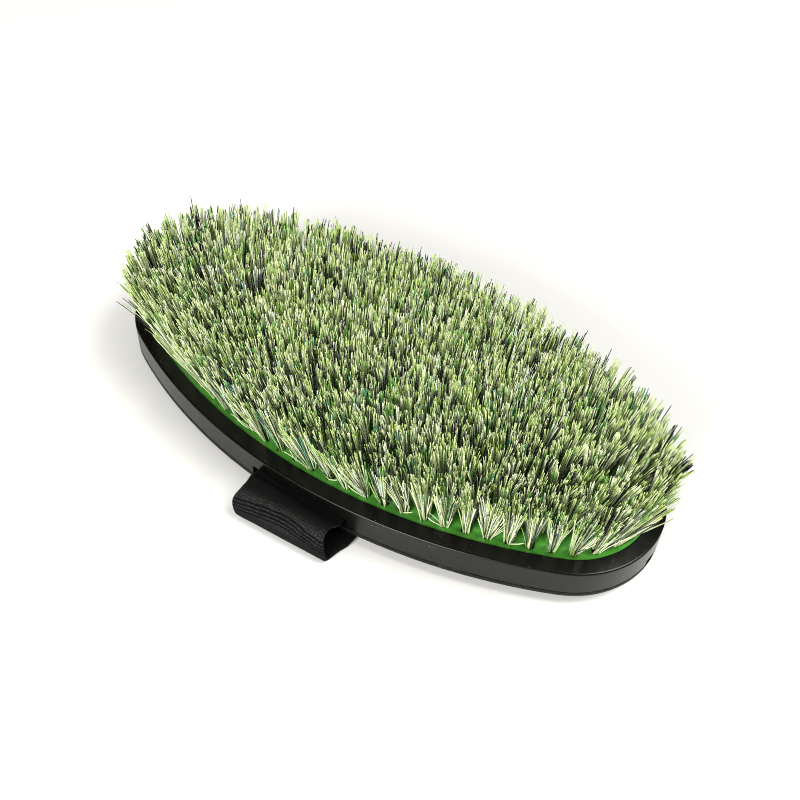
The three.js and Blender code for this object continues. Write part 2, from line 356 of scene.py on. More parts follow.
def black_plastic(name, dark, light, roughness, gloss, dust):
    """Satin moulded plastic: cloudy sheen, a fine grain and a few pale specks of dust."""
    n = Nodes(name)
    cloud = n.noise(38, detail=4)
    base = n.mix(cloud, dark, light)
    specks = n.span(n.noise(1500, detail=1), over=(0.76, 0.80))
    dusty = n.span(n.noise(90, detail=1), over=(0.52, 0.60))
    n.into("Base Color", n.mix(n.maths("MULTIPLY", specks, dusty), base, dust))
    n.into("Roughness", n.span(cloud, to=(roughness - 0.06, roughness + 0.08), over=MIDDLING))
    n.into("Normal", n.bump(n.noise(2600, detail=2), strength=0.25, distance_mm=0.03))
    n.fix("Specular IOR Level", gloss)
    return n.material


def rim_plastic():
    dark, light = grey(0.003), (0.006, 0.006, 0.005)
    return black_plastic("rim_black", dark, light, roughness=0.26, gloss=0.38, dust=grey(0.40))


def cover_plastic():
    dark, light = grey(0.005), (0.009, 0.008, 0.007)
    return black_plastic("cover_black", dark, light, roughness=0.48, gloss=0.26, dust=grey(0.35))


def green_plastic():
    """Saturated green plastic, smooth, a little uneven from moulding."""
    n = Nodes("plate_green")
    deep, bright = (0.092, 0.335, 0.051), (0.12, 0.395, 0.068)
    n.into("Base Color", n.mix(n.noise(55), deep, bright))
    n.into("Roughness", n.span(n.noise(300), to=(0.32, 0.48), over=MIDDLING))
    n.into("Normal", n.bump(n.noise(900, detail=2), strength=0.15, distance_mm=0.05))
    return n.material


def webbing():
    """Black elastic yarn: fine cords across the ribs, painted shade in the grooves and creases, a
    paler painted highlight on the outer face where it bends, and some lint.
    """
    n = Nodes("strap_black_webbing")
    shaded_groove_grey, plain_crest, highlight_grey, linty = grey(0.0005), grey(0.007), (0.075, 0.075, 0.072), grey(0.02)
    yarn = n.noise(1500, stretch=(1.0, 0.35, 0.35))
    cord = n.mix(yarn, grey(0.002), grey(0.009))
    knit = n.span(n.noise(4400, detail=1, stretch=(0.7, 1, 1)), over=(0.48, 0.68))
    # A painted highlight: the crests are painted paler along the outer face where the loop bends
    # over.
    painted_highlight = n.add("ShaderNodeAttribute", attribute_name="painted_highlight").outputs["Fac"]
    crest = n.mix(knit, cord, n.mix(painted_highlight, plain_crest, highlight_grey))
    rib = n.add("ShaderNodeAttribute", attribute_name="rib").outputs["Fac"]
    # Painted shade: the grooves and creases are painted near black, and the crests keep the yarn's
    # colour.
    base = n.mix(n.span(rib, over=(0.15, 0.75)), shaded_groove_grey, crest)
    lint = n.span(n.noise(700, detail=2), over=(0.70, 0.78))
    n.into("Base Color", n.mix(lint, base, linty))
    n.into("Roughness", n.span(yarn, to=(0.72, 0.95), over=MIDDLING))
    cords = n.bump(yarn, strength=0.6, distance_mm=0.2)
    n.into("Normal", n.bump(n.noise(5200, detail=2), strength=0.5, distance_mm=0.12, below=cords))
    n.fix("Sheen Weight", 0.04)
    n.fix("Sheen Roughness", 0.6)
    n.fix("Specular IOR Level", 0.15)
    return n.material


def drawn_wire():
    """Bright steel with fine marks along the wire."""
    n = Nodes("bar_drawn_wire")
    n.into("Base Color", n.mix(n.noise(400), (0.42, 0.43, 0.45), (0.60, 0.61, 0.63)))
    n.into("Roughness", n.span(n.noise(900, stretch=(0.05, 1, 1)), to=(0.25, 0.45), over=MIDDLING))
    n.fix("Metallic", 1)
    return n.material


# Each filament colour, and its share of the filaments.
FILAMENTS = {
    "lime": ((0.45, 0.58, 0.19), 0.23),
    "pale_lime": ((0.58, 0.68, 0.32), 0.23),
    "cream": ((0.70, 0.73, 0.45), 0.15),
    "silver": ((0.60, 0.66, 0.53), 0.07),
    "olive": ((0.22, 0.34, 0.07), 0.12),
    "leaf": ((0.09, 0.26, 0.045), 0.07),
    "teal": ((0.04, 0.20, 0.10), 0.02),
    "black": ((0.004, 0.005, 0.004), 0.12),
}
# The power a filament's colour is raised to in each stretch of its length. A lower one is paler. The
# stretches are lit and shaded copies of one colour: the root is painted darker as shade near the
# plate, the shaft is painted paler as light on the tufts' sides, and the tip is painted darkest to
# hold back the light on the tips.
ZONE_SHADING = {"root": 0.65, "shaft": 0.46, "tip": 0.85}


def filament(name, colour, zone):
    """One filament colour. Its gloss varies from bristle to bristle."""
    n = Nodes(f"bristle_{name}_{zone}")
    # The zone's power paints light or shade into the filament's colour along its length.
    n.fix("Base Color", (*np.array(colour) ** ZONE_SHADING[zone], 1))
    n.fix("Roughness", 0.42 if name == "black" else 0.5)
    n.into("Specular IOR Level", n.span(n.noise(500, detail=1), to=(0.3, 0.7), over=MIDDLING))
    return n.material


# ---- The body ----
def add_rim(material):
    """The upright wall and the bezel, with softened corners, the strap slots and end windows."""
    crisp, moulded, soft = 0.1, 0.25, 0.7  # the radii of its edges
    lip_under = BEZEL_TOP - LIP_THICKNESS
    section = rounded_section([
        (0, PARTING, moulded),
        (0, BEZEL_TOP - BEZEL_RISE, soft),
        (BEZEL_WIDTH, BEZEL_TOP, moulded),
        (BEZEL_WIDTH, lip_under, crisp),
        (WALL, lip_under, crisp),
        (WALL, PARTING, crisp),
    ])
    faces = ring_faces(len(section), closed=True)
    rim = mesh_piece("rim", ring_points(section), faces, [material])
    cuts = []
    for side in (-1, 1):
        slot = (SLOT_LENGTH, WALL_CUT, 2 * SLOT_HEIGHT)
        cuts.append(cutter(slot, (SLOT_CENTRE, side * HALF_WIDTH, PARTING), SLOT_ROUNDING))
        window = (WALL_CUT, WINDOW_WIDTH, 2 * WINDOW_HEIGHT)
        place = (side * HALF_LENGTH, side * WINDOW_OFFSET, PARTING)
        cuts.append(cutter(window, place, WINDOW_ROUNDING))
    cut(rim, cuts)
    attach(rim, "body")
    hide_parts("rim_frame")


def cover_section():
    """The cover's (inset, height) section, from the flat of its back out and up, and in again.

    Also gives the number of the first of the two points that the mould leaves uneven.
    """
    middle = DOME_WIDTH * 1.6
    section = [(middle, 0.0), (DOME_WIDTH * 1.25, 0.0)]
    for x in np.linspace(0, 1, DOME_STEPS)[:-1]:
        rise = BACK_EDGE * (1 - (1 - x**DOME_POWER) ** (1 / DOME_POWER))
        section.append((DOME_WIDTH * (1 - x), rise))
    section.append((0.0, BACK_EDGE))
    uneven = len(section)
    edge = PARTING - PARTING_GAP
    section += [(0.0, edge - 0.3), (0.08, edge - 0.08), (0.35, edge), (WALL, edge)]
    section += [(WALL + 3, edge - 0.2), (middle, edge - 0.2)]
    return section, uneven


def add_cover(material):
    """The domed back, its edge below the parting line, and the channel for the strap."""
    section, uneven = cover_section()
    points = ring_points(section)
    # The mould's two halves leave a slightly uneven edge along the parting line.
    edge = slice(uneven * OUTLINE_STEPS, (uneven + 2) * OUTLINE_STEPS)
    shift = rng.normal(0, UNEVENNESS, (2 * OUTLINE_STEPS, 1))
    points[edge, :2] += shift * np.tile(outline_outs, (2, 1))
    faces = ring_faces(len(section)) + end_faces(len(section))
    cover = mesh_piece("back_shell", points, faces, [material])
    channel = (STRAP_WIDTH + CHANNEL_PLAY, 2.4 * HALF_WIDTH, 2 * CHANNEL_DEPTH)
    cuts = [cutter(channel, (SLOT_CENTRE + LOOP_SKEW, 0, 0), CHANNEL_ROUNDING)]
    for end in (-1, 1):
        place = (end * HALF_LENGTH, end * WINDOW_OFFSET, PARTING)
        notch = (NOTCH_REACH, WINDOW_WIDTH, 2 * NOTCH_DEPTH)
        cuts.append(cutter(notch, place, WINDOW_ROUNDING))
    cut(cover, cuts)
    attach(cover, "body")
    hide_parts("back_cover")


def add_hooks(material):
    """The cover's snap hook, seen in the window at each end of the rim."""
    length, side_play, top_play = 3.0, 1.4, 0.5
    inset = 4.6  # from the wall's outer face to the hook's middle
    drop = 0.3
    size = (length, WINDOW_WIDTH - side_play, WINDOW_HEIGHT - top_play)
    height = PARTING + WINDOW_HEIGHT / 2 - drop
    for name, end in (("snap_hook_right", 1), ("snap_hook_left", -1)):
        place = (end * (HALF_LENGTH - inset), end * WINDOW_OFFSET, height)
        hook = cutter(size, place, WINDOW_ROUNDING)
        hook.name = name
        hook.data.materials.append(material)
        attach(hook, "body")


# ---- The tufts' places ----
def tuft_rows():
    """Each row as (root points, outward directions, how far its tips lean out)."""
    rows = []
    for number in range(OVAL_ROWS):
        width = HALF_WIDTH - FIRST_ROW - number * TUFT_PITCH
        length = HALF_LENGTH - FIRST_ROW - number * END_PITCH
        share = width / (HALF_WIDTH - FIRST_ROW)
        arcs = oval_arcs(length, width, (END_RADIUS - FIRST_ROW) * share**SHARPENING)
        count = round(oval_length(arcs) / TUFT_PITCH)
        stops = (np.arange(count) + 0.5) * oval_length(arcs) / count
        points, outs = round_oval(arcs, stops)
        rows.append((points, outs, OUTER_SPLAY * (1 - number / OVAL_ROWS)))
    middle = (np.arange(MIDDLE_TUFTS) + 0.5 - MIDDLE_TUFTS / 2) * TUFT_PITCH
    points = np.stack([middle, np.zeros(MIDDLE_TUFTS)], 1)
    outs = np.tile([0.0, -1.0], (MIDDLE_TUFTS, 1))
    rows.append((points, outs, 0.0))
    return rows


# A socket's lip and wall, as (out past the socket's radius, down from the plate's face).
SOCKET_LIP = 0.3
SOCKET_SECTION = [(0.08, 0.1), (0, 0.35), (0, 3)]
SOCKET_SIDES = 16
PLATE_OVERLAP = 0.4  # how far the plate goes on under the bezel
SKIRT = 5


def plate_face(edge, centres, circle):
    """The plate's flat face between its edge and the sockets, as (points, faces)."""
    flat = [Vector(p) for p in edge]
    rims = [list(range(OUTLINE_STEPS))]
    for centre in centres:
        first = len(flat)
        flat += [Vector(centre + c * (SOCKET_RADIUS + SOCKET_LIP)) for c in circle]
        rims.append(list(range(first, first + SOCKET_SIDES))[::-1])
    points, _, faces, *_ = delaunay_2d_cdt(flat, [], rims, 1, 1e-6)
    assert len(points) == len(flat)
    kept = []
    for face in faces:
        middle = np.mean([points[i] for i in face], 0)
        if np.min(np.linalg.norm(centres - middle, axis=1)) > SOCKET_RADIUS * 0.98:
            kept.append(tuple(face))
    return [(x, y, PLATE_TOP) for x, y in points], kept


def add_plate(rows, material):
    """The green plate's face with a round, soft-lipped socket at each tuft."""
    edge = outline_points - outline_outs * (BEZEL_WIDTH - PLATE_OVERLAP)
    circle = circle_points(SOCKET_SIDES)
    centres = np.concatenate([p + o * splay * SOCKET_SHIFT for p, o, splay in rows])
    points, faces = plate_face(edge, centres, circle)
    # Each socket goes down over a soft lip to a dark floor.
    for number, centre in enumerate(centres):
        start = OUTLINE_STEPS + number * SOCKET_SIDES
        above = list(range(start, start + SOCKET_SIDES))
        for wider, depth in SOCKET_SECTION:
            below = list(range(len(points), len(points) + SOCKET_SIDES))
            points += [(*(centre + c * (SOCKET_RADIUS + wider)), PLATE_TOP - depth) for c in circle]
            for k in range(SOCKET_SIDES):
                after = (k + 1) % SOCKET_SIDES
                faces.append((above[k], above[after], below[after], below[k]))
            above = below
        faces.append(tuple(above))
    # A skirt under the bezel closes the plate's edge.
    first = len(points)
    points += [(*p, PLATE_TOP - SKIRT) for p in edge]
    for k in range(OUTLINE_STEPS):
        after = (k + 1) % OUTLINE_STEPS
        faces.append((k, first + k, first + after, after))
    plate = mesh_piece("plate", points, faces, [material], smooth_angle=40)
    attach(plate, "body")
    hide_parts("bristle_plate")


# ---- The bristles ----
BRISTLES = 74  # in a tuft whose cell is one pitch square
CLUMPS = 22  # in a tuft
SIDES = 3
STATIONS = np.array([0.0, 0.35, 0.86, 1.0])  # shares of a filament's length, where the zones meet
WIDTHS = np.interp(STATIONS, [0, 0.86, 1], [1.0, 0.92, 0.72])  # shares of its thickness there
THICKNESS = (0.17, 0.255)  # the range of a filament's half-width
CROWDING = 1.15  # the power of a cell's area that its filaments grow by
ROOT_SPREAD = 0.95
ROOT_DEPTH = 2.2  # of a filament's root below the plate's face
CELL_WIDTH = 0.525  # of the distance between the tufts' tips along their row
CELL_DEPTH = 0.45  # and between rows
CELL_SPILL = 0.7  # how far the tips go on past that
FAN_POWER = 1.1
TOP_DROP = 0.7  # how far below the CAD's tips most filaments end
TOP_LIMIT = 1.2  # how far the longest filament may stand above the CAD's tips
SHORT_SHARE = 0.2
SHORT_BY = (0.5, 7)
STRAY_SHARE = 0.045
STRAY_RISE = (0.8, 2.4)
STRAY_LEAN = 0.45  # how much further out stray filaments lean, as a share of their tuft's lean
OWN_COLOUR = 0.4  # the share of filaments that don't take their clump's colour
BLACK_STRAYS = 0.6
END_LEAN = 0.3  # the share that a tuft leans less for each pitch more between rows, at the ends
WIDEST_CELL = 1.3  # in pitches


def tuft_lines(point, out, lean, width, depth):
    """One tuft's filaments as centre lines, and which are stray. They stick together in clumps.

    The tips fill a cell as wide and as deep as the distances between the tufts' tips here.
    """
    along = np.array([-out[1], out[0]])
    count = round(BRISTLES * (width * depth / TUFT_PITCH**2) ** CROWDING)
    clump = np.arange(count) % CLUMPS
    seat = rng.uniform(-1, 1, (CLUMPS, 2))[clump]
    root = seat * ROOT_SPREAD + rng.normal(0, 0.3, (count, 2))
    root /= np.maximum(1, np.linalg.norm(root, axis=1) / (SOCKET_RADIUS - 0.1))[:, None]
    cell = np.array([CELL_WIDTH * width, CELL_DEPTH * depth + CELL_SPILL])
    cell = cell * rng.uniform(0.88, 1.12)
    tip = seat * cell + rng.normal(0, 0.4, (CLUMPS, 2))[clump]
    tip += rng.normal(0, 0.42, (count, 2)) + rng.normal(0, 0.6, 2)
    tip[:, 1] += lean
    top = TIPS - TOP_DROP + rng.normal(0, 0.5) + rng.normal(0, 0.7, CLUMPS)[clump]
    top += rng.normal(0, 0.5, count)
    short = rng.random(count) < SHORT_SHARE
    top[short] -= rng.uniform(*SHORT_BY, short.sum())
    stray = rng.random(count) < STRAY_SHARE
    top[stray] += rng.uniform(*STRAY_RISE, stray.sum())
    tip[stray] += rng.normal(0, 1.5, (stray.sum(), 2))
    tip[stray, 1] += STRAY_LEAN * lean * rng.random(stray.sum())
    top = np.minimum(top, TIPS + TOP_LIMIT)
    bow = rng.normal(0, 0.3, (CLUMPS, 2))[clump] + rng.normal(0, 0.12, (count, 2))
    t = STATIONS[None, :, None]
    flat = root[:, None] * (1 - t) + tip[:, None] * t**FAN_POWER + bow[:, None] * 4 * t * (1 - t)
    height = (PLATE_TOP - ROOT_DEPTH) * (1 - t) + top[:, None, None] * t
    across = flat[..., :1] * along + flat[..., 1:] * out
    return np.concatenate([across + point, height], axis=2), stray


def tuft_colours(stray):
    """The number of each filament's colour. A clump's filaments are mostly of one colour."""
    count = len(stray)
    shares = np.array([share for _, share in FILAMENTS.values()])
    mood = shares * rng.gamma(2.0, 0.5, len(shares))
    clump_colour = rng.choice(len(shares), CLUMPS, p=mood / mood.sum())
    own = rng.choice(len(shares), count, p=shares / shares.sum())
    alike = clump_colour[np.arange(count) % CLUMPS]
    colours = np.where(rng.random(count) < OWN_COLOUR, own, alike)
    colours[stray & (rng.random(count) < BLACK_STRAYS)] = list(FILAMENTS).index("black")
    return colours


def tuft(point, out, lean, width, depth):
    """One tuft's filaments: centre lines, half-widths and colours."""
    lines, stray = tuft_lines(point, out, lean, width, depth)
    thick = rng.uniform(*THICKNESS, len(lines))
    return lines, thick, tuft_colours(stray)


def bristle_mesh(name, lines, thick, colours, materials):
    """Thin three-sided rods along the centre lines, with a flat cut tip."""
    count, stations = lines.shape[:2]
    turn = rng.uniform(0, 2 * math.pi, count)[:, None] + np.arange(SIDES) * 2 * math.pi / SIDES
    ring = np.stack([np.cos(turn), np.sin(turn), np.zeros_like(turn)], 2)
    width = thick[:, None] * WIDTHS[None]
    points = lines[:, :, None, :] + ring[:, None] * width[:, :, None, None]
    first = np.arange(count)[:, None, None] * stations * SIDES
    segment = np.arange(stations - 1)[None, :, None] * SIDES
    side = np.arange(SIDES)[None, None, :]
    after = (side + 1) % SIDES
    low = first + segment
    quads = np.stack([low + side, low + after, low + SIDES + after, low + SIDES + side], 3)
    caps = (first[:, 0] + (stations - 1) * SIDES) + np.arange(SIDES)[None]
    faces = quads.reshape(-1, 4).tolist() + caps.tolist()
    piece = mesh_piece(name, points.reshape(-1, 3), faces, materials)
    zones = np.repeat(np.arange(len(ZONE_SHADING)), SIDES)
    slots = colours[:, None] * len(ZONE_SHADING) + zones[None]
    tips = colours * len(ZONE_SHADING) + len(ZONE_SHADING) - 1
    index = np.concatenate([slots.ravel(), tips]).astype(np.int32)
    piece.data.polygons.foreach_set("material_index", index)
    return piece


def add_bristles(rows, materials):
    """The seven rows of tufts, each row a piece of its own."""
    for number, (points, outs, splay) in enumerate(rows, 1):
        depths = np.hypot(outs[:, 0] * END_PITCH, outs[:, 1] * TUFT_PITCH)
        leans = splay * (1 + END_LEAN - END_LEAN * depths / TUFT_PITCH)
        ends = points + outs * leans[:, None]
        widths = np.linalg.norm(np.roll(ends, -1, 0) - np.roll(ends, 1, 0), axis=1) / 2
        widths = np.minimum(widths, WIDEST_CELL * TUFT_PITCH)
        made = [tuft(*place) for place in zip(points, outs, leans, widths, depths)]
        lines, thick, colours = (np.concatenate(parts) for parts in zip(*made))
        piece = bristle_mesh(f"bristles_row_{number}", lines, thick, colours, materials)
        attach(piece, "body")
        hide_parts(f"tuft_row_{number}")


# Where bent filaments lie across the plate: (distance along the brush, how far they run aside).
LOOSE = [(6, 5), (38, 4), (52, -5), (70, 5), (-24, -4), (-66, 5), (24, -5)]
LOOSE_RADIUS = 0.19
LOOSE_SIDES = 5
LOOSE_STEPS = 14
LOOSE_COLOURS = [("lime", "shaft"), ("pale_lime", "root"), ("cream", "root")]


def loose_line(root, out, aside):
    """A filament's centre line, which comes out of its socket, arches over and ends higher up."""
    arch, end_rise, start_depth = 2.2, 5.5, 0.6
    start_out, swing = 1.2, 2.6  # how far out it starts, and how much further out it swings
    t = np.linspace(0, 1, LOOSE_STEPS)[:, None]
    along = np.array([-out[1], out[0]])
    rise = arch * np.sin(math.pi * t) + end_rise * t**2
    flat = root + out * (start_out + swing * np.sin(2 * t)) + along * aside * t**1.3
    return np.hstack([flat, PLATE_TOP - start_depth + rise])


def add_loose_filaments(row, materials):
    """A few outer filaments that have bent over and curl across the plate."""
    roots, outs, _ = row
    points, faces = [], []
    for along_brush, aside in LOOSE:
        off = np.where(roots[:, 1] < 0, np.abs(roots[:, 0] - along_brush), np.inf)
        nearest = np.argmin(off)
        line = loose_line(roots[nearest], outs[nearest], aside)
        ahead = np.gradient(line, axis=0)
        ahead /= np.linalg.norm(ahead, axis=1)[:, None]
        level = np.cross(ahead, [0, 0, 1.0])
        level /= np.linalg.norm(level, axis=1)[:, None]
        upright = np.cross(level, ahead)
        first = len(points)
        for k in range(LOOSE_STEPS):
            for u, v in circle_points(LOOSE_SIDES):
                points.append(line[k] + LOOSE_RADIUS * (level[k] * u + upright[k] * v))
        faces += ring_faces(LOOSE_STEPS, LOOSE_SIDES, first=first)
        faces += end_faces(LOOSE_STEPS, LOOSE_SIDES, first)
    piece = mesh_piece("loose_bristles", points, faces, materials)
    index = np.arange(len(faces)) // (len(faces) // len(LOOSE)) % len(materials)
    piece.data.polygons.foreach_set("material_index", index.astype(np.int32))
    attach(piece, "body")


# ---- The strap ----
SLOT_MIDDLE = PARTING + SLOT_HEIGHT / 2
STRAP_LEVEL = STRAP_GROUND + CAD_STRAP_THICKNESS / 2
LOOP_PLAY = 0.2
LOOP_OUT = HALF_WIDTH + LOOP_REACH - LOOP_PLAY
HEM = HALF_WIDTH - HEM_INSET
SLOT_MOUTH = 0.6  # how far past the wall the strap stays level
HUMP_REACH = 5
HUMP_RISE = 2.5
HUMP_END_RISE = 2.3
FOLD_HEIGHT = 3.6  # of the tight fold at the loop's end
FOLD_DEPTH = 3.2
STOPS_PER_RIB = 5
SECTION_STEPS = 56  # across each flat of the strap
EDGE_STEPS = 5
EDGE_RELIEF = 0.3  # how much of the ribs its edges show

# Places round a loop, as shares of the turn from straight up to straight down.
SKEW_BAND = (0.25, 0.95)
WORKED_BAND = (0.20, 0.34)  # where the ribs rise from shallow to their full depth
HUMP_BAND = (0.12, 0.26, 0.30, 0.44)
# Where the painted highlight lies on the outer face of the bend.
HIGHLIGHT_BAND = (0.26, 0.34, 0.40, 0.52)
FIRST_CREASE = 0.37
HUMP_WARP = 0.6  # how far the strap's flat waves up and down at the hump, in mm
HUMP_PINCH = 0.045  # how much narrower it gets there, as a share
SHALLOW = 0.15  # the share of their depth that the ribs have elsewhere


def bezier(a, b, c, d, count):
    t = np.linspace(0, 1, count, endpoint=False)[:, None]
    a, b, c, d = (np.array(p, float) for p in (a, b, c, d))
    return a * (1 - t) ** 3 + b * 3 * t * (1 - t) ** 2 + c * 3 * t**2 * (1 - t) + d * t**3


def strap_path():
    """Half the strap's path as (across, up), from the hem inside the body to the middle."""
    hem, middle = (HEM, SLOT_MIDDLE), (0, STRAP_LEVEL)
    slot = (HALF_WIDTH + SLOT_MOUTH, SLOT_MIDDLE)
    outer = (LOOP_OUT, STRAP_LEVEL + FOLD_HEIGHT)
    lying = (LOOP_OUT - FOLD_DEPTH, STRAP_LEVEL)
    inside = ((HEM + 2, SLOT_MIDDLE), (HALF_WIDTH - 2, SLOT_MIDDLE))
    hump = ((HALF_WIDTH + HUMP_REACH, SLOT_MIDDLE + HUMP_RISE),
            (LOOP_OUT + 0.1, SLOT_MIDDLE + HUMP_END_RISE))
    fold = ((LOOP_OUT, STRAP_LEVEL + 0.2), (LOOP_OUT - 0.3, STRAP_LEVEL))
    under = ((35, STRAP_LEVEL), (15, STRAP_LEVEL))
    return np.concatenate([
        bezier(hem, *inside, slot, count=200),
        bezier(slot, *hump, outer, count=400),
        bezier(outer, *fold, lying, count=400),
        bezier(lying, *under, middle, count=300),
    ])


def strap_stops():
    """Even steps from hem to hem: (distances, places across, heights, directions square to it)."""
    half = strap_path()
    near = np.stack([-half[:, 0], half[:, 1]], 1)
    path = np.concatenate([near, half[::-1]])
    steps = np.linalg.norm(np.diff(path, axis=0), axis=1)
    travelled = np.concatenate([[0], np.cumsum(steps)])
    count = int(travelled[-1] / RIB_PITCH * STOPS_PER_RIB)
    stops = np.linspace(0, travelled[-1], count)
    across = np.interp(stops, travelled, path[:, 0])
    up = np.interp(stops, travelled, path[:, 1])
    slope = np.stack([np.gradient(across), np.gradient(up)], 1)
    slope /= np.linalg.norm(slope, axis=1)[:, None]
    return stops, across, up, np.stack([-slope[:, 1], slope[:, 0]], 1)


def strap_section():
    """Points round the strap's section: (along the brush, out from its middle, share of relief)."""
    side = np.linspace(-1, 1, SECTION_STEPS)
    bend = np.linspace(0, math.pi, EDGE_STEPS + 2)[1:-1]
    thick = STRAP_THICKNESS / 2
    flat = STRAP_WIDTH / 2 - thick
    section = [(s * flat, thick, 1.0) for s in side]
    section += [(flat + thick * math.sin(b), thick * math.cos(b), EDGE_RELIEF) for b in bend]
    section += [(s * flat, -thick, 1.0) for s in side[::-1]]
    section += [(-flat - thick * math.sin(b), -thick * math.cos(b), EDGE_RELIEF) for b in bend]
    return np.array(section)


def smoothstep(x, low, high):
    t = np.clip((x - low) / (high - low), 0, 1)
    return t * t * (3 - 2 * t)


def band(x, rise_from, rise_to, fall_from, fall_to):
    return smoothstep(x, rise_from, rise_to) * (1 - smoothstep(x, fall_from, fall_to))


def wave(x, size, per_mm, phase=0):
    return size * np.sin(x * per_mm + phase)


def strap_relief(stops, turn, place):
    """How far the webbing's ribs and creases stand out, in mm, and how lit it is painted, from 0 to
    1: lower in the grooves and creases, as painted shade.
    """
    wander = wave(place, size=0.6, per_mm=0.35, phase=0.02 * stops[:, None])
    rib = 0.5 + 0.5 * np.cos(2 * math.pi * stops[:, None] / RIB_PITCH + wander)
    # A few deeper, wavy creases run along the bend at the top of each loop.
    half = len(stops) // 2
    from_hem = np.minimum(stops, stops[-1] - stops)[:, None]
    first = np.interp(FIRST_CREASE, turn[:half], stops[:half])
    sway = wave(place, size=1.1, per_mm=0.15, phase=1.4) + wave(place, size=0.1, per_mm=0.4)
    crease = 0
    for number in range(CREASES):
        off = from_hem - first - number * CREASE_PITCH + sway
        crease = crease + np.exp(-((off / CREASE_WIDTH) ** 2))
    worked = SHALLOW + (1 - SHALLOW) * smoothstep(turn, *WORKED_BAND)[:, None]
    relief = RIB_DEPTH * worked * (2 * rib - 1) - CREASE_DEPTH * crease
    # The second value paints shade into the grooves between the ribs and into the creases.
    return relief, np.clip(0.6 + 0.4 * rib - crease, 0, 1)


def strap_faces(count, around):
    """The faces of a closed tube whose sections run the other way round from a ring's."""
    faces = []
    for i in range(count - 1):
        for k in range(around):
            after = (k + 1) % around
            a, b = i * around, (i + 1) * around
            faces.append((a + k, b + k, b + after, a + after))
    faces.append(tuple(range(around)))
    faces.append(tuple(reversed(range((count - 1) * around, count * around))))
    return faces


def add_strap(material):
    """One length of ribbed webbing from the near slot, under the back, to the far slot."""
    stops, across, up, out = strap_stops()
    section = strap_section()
    place, offset, share = section.T[:, None]
    past = np.maximum(np.abs(across) - HALF_WIDTH, 0)
    turn = np.arctan2(past, up - (SLOT_MIDDLE + STRAP_LEVEL) / 2) / math.pi
    # The second value is the painted shade of the grooves and creases.
    relief, groove_shading = strap_relief(stops, turn, place)
    hump = band(turn, *HUMP_BAND)[:, None]
    rise = offset + relief * np.sign(offset) * share
    rise = rise + wave(place, size=-HUMP_WARP * hump, per_mm=0.12, phase=0.4)
    skew = SLOT_CENTRE + LOOP_SKEW * smoothstep(turn, *SKEW_BAND)
    x = skew[:, None] + place * (1 - HUMP_PINCH * hump)
    flat = STRAP_WIDTH / 2 - STRAP_THICKNESS / 2
    tilt = -LOOP_TILT * (past / LOOP_REACH)[:, None] * place / flat
    y = across[:, None] + np.sign(across)[:, None] * tilt + out[:, :1] * rise
    z = up[:, None] + out[:, 1:] * rise
    points = np.stack([x, y, z], 2).reshape(-1, 3)
    strap = mesh_piece("hand_strap", points, strap_faces(len(stops), len(section)), [material])
    # A painted highlight along the outer face where each loop bends over.
    painted_highlight = band(turn, *HIGHLIGHT_BAND)[:, None] * (offset < 0)
    for name, values in (("rib", groove_shading), ("painted_highlight", painted_highlight)):
        shade = strap.data.attributes.new(name, "FLOAT", "POINT")
        shade.data.foreach_set("value", values.ravel().astype(np.float32))
    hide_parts("hand_strap_near_side", "hand_strap_middle", "hand_strap_far_side")
    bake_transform(strap)


BAR_SIDES = 24
BAR_BEVEL = 0.3
BAR_END = 0.8  # a pin's radius at its very ends, as a share of the rest


def add_bars(material):
    """The smooth pins through the strap's hems."""
    for name in ("strap_bar_near", "strap_bar_far"):
        low, high = box_mm(name)
        middle, radius = (low + high) / 2, (high[2] - low[2]) / 2
        rings = [(low[0], BAR_END), (low[0] + BAR_BEVEL, 1.0)]
        rings += [(high[0] - BAR_BEVEL, 1.0), (high[0], BAR_END)]
        points = []
        for x, share in rings:
            for u, v in circle_points(BAR_SIDES):
                points.append((x, middle[1] + radius * share * u, middle[2] + radius * share * v))
        faces = ring_faces(len(rings), BAR_SIDES) + end_faces(len(rings), BAR_SIDES)
        pin = mesh_piece(f"{name}_pin", points, faces, [material], smooth_angle=50)
        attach(pin, "body")
        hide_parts(name)


# ---- Floor, light and camera ----
FLOOR_REACH = 3000
FLOOR_FADE = (0.45, 0.9)  # where the floor fades out, in m from the brush


def add_floor():
    """A pale floor that fades out far away, and can't be seen from below."""
    n = Nodes("floor_white")
    n.fix("Base Color", (0.90, 0.89, 0.855, 1))
    n.fix("Roughness", 0.75)
    n.fix("Specular IOR Level", 0.2)
    camera = n.add("ShaderNodeVectorTransform", vector_type="POINT", Vector=(0, 0, 0))
    camera.convert_from, camera.convert_to = "CAMERA", "WORLD"
    split = n.add("ShaderNodeSeparateXYZ")
    n.link(camera.outputs[0], split.inputs[0])
    under = n.maths("LESS_THAN", split.outputs["Z"], 0)
    distance = n.add("ShaderNodeVectorMath", operation="LENGTH")
    n.link(n.add("ShaderNodeTexCoord").outputs["Object"], distance.inputs[0])
    far = n.span(distance.outputs["Value"], over=FLOOR_FADE)
    choose = n.add("ShaderNodeMixShader")
    n.link(n.maths("MAXIMUM", under, far), choose.inputs["Fac"])
    n.link(n.shader.outputs[0], choose.inputs[1])
    n.link(n.add("ShaderNodeBsdfTransparent").outputs[0], choose.inputs[2])
    n.link(choose.outputs[0], n.tree.nodes["Material Output"].inputs["Surface"])
    reach = FLOOR_REACH
    points = [(-reach, -reach, 0), (reach, -reach, 0), (reach, reach, 0), (-reach, reach, 0)]
    mesh_piece("floor", points, [(0, 1, 2, 3)], [n.material])


